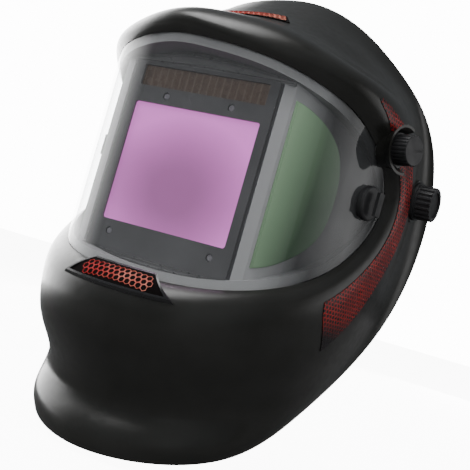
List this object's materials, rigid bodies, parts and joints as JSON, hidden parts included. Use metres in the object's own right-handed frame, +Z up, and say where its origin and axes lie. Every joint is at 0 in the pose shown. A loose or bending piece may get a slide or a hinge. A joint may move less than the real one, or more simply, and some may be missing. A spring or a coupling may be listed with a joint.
{
  "type": "welding helmet",
  "caption": "Flip-up welding helmet with a wrap-round clear lens, self-darkening filter cartridge, green side windows, shade knob and ratchet headgear.",
  "frame": {"origin": "midpoint between the two pivots that the shell turns on", "axes": "+Z up along the flat face of the filter cartridge, +X to the wearer's left along the pivot axis, -Y the way the wearer looks"},
  "size_m": [0.2653, 0.3126, 0.3421],
  "materials": {
    "black_nylon": "satin moulded nylon",
    "clear_polycarbonate": "polished, slightly reflective",
    "dark_frame": "fine matte texture",
    "grey_case": "fine matte texture",
    "steel": "plated",
    "filter_glass": "pink to violet mirror coating",
    "crystal_glass": "dark laminated glass",
    "green_glass": "polished green tint",
    "solar": "brown cell strips under clear cover",
    "sensor": "dark translucent domes",
    "circuit": "solder mask",
    "black_knob": "fine matte texture",
    "cable": "matte sheath",
    "badge_frame": "satin",
    "red_mesh": "red to white printed net",
    "decal": "printed film, red mesh pattern on black",
    "headgear_plastic": "matte moulded polypropylene",
    "sweat_fabric": "padded knitted fabric over foam",
    "brass": "turned"
  },
  "bodies": {
    "headgear": {"headband": "headgear_plastic", "sweatband": "sweat_fabric", "arm_rivets": "headgear_plastic", "crown_strap_left": "headgear_plastic", "crown_strap_right": "headgear_plastic", "crown_strap_peg": "headgear_plastic", "side_arm_left": "headgear_plastic", "side_arm_right": "headgear_plastic", "ratchet_housing": "headgear_plastic", "ratchet_cover": "headgear_plastic", "cover_screws": "steel", "rear_pad": "sweat_fabric"},
    "carriage": {"carriage_plates": "headgear_plastic", "pivot_bolts": "steel", "friction_washers": "headgear_plastic"},
    "tilt_stop": {"tilt_stop": "headgear_plastic"},
    "shell": {"shell": "black_nylon", "front_cover_lens": "clear_polycarbonate", "lens_frame": "dark_frame", "cartridge_holder": "dark_frame", "frame_screws": "steel", "latch_pin": "steel", "cartridge_front_case": "grey_case", "cartridge_back_case": "grey_case", "infrared_filter_glass": "filter_glass", "liquid_crystal_cell": "crystal_glass", "inner_cover_plate": "clear_polycarbonate", "solar_cell": "solar", "arc_sensors": "sensor", "circuit_board": "circuit", "coin_cells": "steel", "side_window_left": "green_glass", "side_window_right": "green_glass", "window_retainers": "dark_frame", "shade_shroud": "black_nylon", "shade_potentiometer": "steel", "potentiometer_nut": "steel", "control_cable": "cable", "front_vent_bezel": "badge_frame", "front_vent_mesh": "red_mesh", "top_vent_mesh": "red_mesh", "side_decals": "decal"},
    "tension_knob_left": {"tension_knob_left": "black_knob", "knob_insert_left": "brass"},
    "tension_knob_right": {"tension_knob_right": "black_knob", "knob_insert_right": "brass"},
    "shade_knob": {"shade_knob": "black_knob", "shade_shaft": "steel"},
    "sensitivity_knob": {"sensitivity_knob": "black_knob"},
    "delay_knob": {"delay_knob": "black_knob"},
    "mode_switch": {"mode_switch": "black_knob"},
    "check_button": {"check_button": "black_knob"},
    "battery_door": {"battery_door": "grey_case"},
    "cartridge_latch": {"cartridge_latch": "dark_frame"},
    "lens_lock_left": {"lens_lock_left": "dark_frame"},
    "lens_lock_right": {"lens_lock_right": "dark_frame"},
    "ratchet_knob": {"ratchet_knob": "black_knob", "ratchet_pinion": "headgear_plastic"},
    "rack_left": {"rack_left": "headgear_plastic"},
    "rack_right": {"rack_right": "headgear_plastic"}
  },
  "joints": [
    {"name": "reach_slide", "type": "slide", "parent": "headgear", "child": "carriage", "axis": [0, 1, 0], "range_m": [-0.01, 0.01]},
    {"name": "tilt_stop_turn", "type": "hinge", "parent": "carriage", "child": "tilt_stop", "pos_m": [-0.1035, 0, 0], "axis": [1, 0, 0], "range_deg": [-12, 12]},
    {"name": "shell_flip", "type": "hinge", "parent": "carriage", "child": "shell", "pos_m": [0, 0, 0], "axis": [-1, 0, 0], "range_deg": [0, 75]},
    {"name": "tension_knob_left_turn", "type": "hinge", "parent": "carriage", "child": "tension_knob_left", "pos_m": [0.118, 0, 0], "axis": [1, 0, 0], "range_deg": [-90, 360]},
    {"name": "tension_knob_right_turn", "type": "hinge", "parent": "carriage", "child": "tension_knob_right", "pos_m": [-0.118, 0, 0], "axis": [-1, 0, 0], "range_deg": [-90, 360]},
    {"name": "shade_knob_turn", "type": "hinge", "parent": "shell", "child": "shade_knob", "pos_m": [0.1145, -0.0622, 0.023], "axis": [0.9579, -0.2853, 0.0306], "range_deg": [-135, 135]},
    {"name": "sensitivity_turn", "type": "hinge", "parent": "shell", "child": "sensitivity_knob", "pos_m": [0.034, -0.121, 0.025], "axis": [0, 1, 0], "range_deg": [-135, 135]},
    {"name": "delay_turn", "type": "hinge", "parent": "shell", "child": "delay_knob", "pos_m": [0.014, -0.121, 0.025], "axis": [0, 1, 0], "range_deg": [-135, 135]},
    {"name": "mode_slide", "type": "slide", "parent": "shell", "child": "mode_switch", "axis": [1, 0, 0], "range_m": [-0.003, 0.003]},
    {"name": "check_press", "type": "slide", "parent": "shell", "child": "check_button", "axis": [0, -1, 0], "range_m": [0, 0.001]},
    {"name": "battery_door_slide", "type": "slide", "parent": "shell", "child": "battery_door", "axis": [-1, 0, 0], "range_m": [0, 0.009]},
    {"name": "cartridge_latch_turn", "type": "hinge", "parent": "shell", "child": "cartridge_latch", "pos_m": [0, -0.1192, -0.0995], "axis": [-1, 0, 0], "range_deg": [0, 70]},
    {"name": "lens_lock_left_turn", "type": "hinge", "parent": "shell", "child": "lens_lock_left", "pos_m": [0.10647, -0.06586, -0.017], "axis": [0.9833, -0.1821, 0], "range_deg": [0, 90]},
    {"name": "lens_lock_right_turn", "type": "hinge", "parent": "shell", "child": "lens_lock_right", "pos_m": [-0.10647, -0.06586, -0.017], "axis": [-0.9833, -0.1821, 0], "range_deg": [-90, 0]},
    {"name": "ratchet_turn", "type": "hinge", "parent": "headgear", "child": "ratchet_knob", "pos_m": [0, 0.111, -0.034], "axis": [0, 1, 0], "range_deg": [0, 114]},
    {"name": "rack_left_slide", "type": "slide", "parent": "headgear", "child": "rack_left", "axis": [1, 0, 0], "range_m": [0, 0.012]},
    {"name": "rack_right_slide", "type": "slide", "parent": "headgear", "child": "rack_right", "axis": [-1, 0, 0], "range_m": [0, 0.012]}
  ],
  "couplings": [
    {"joint": "rack_left_slide", "follows": "ratchet_turn", "m_per_rad": 0.006},
    {"joint": "rack_right_slide", "follows": "ratchet_turn", "m_per_rad": 0.006}
  ]
}
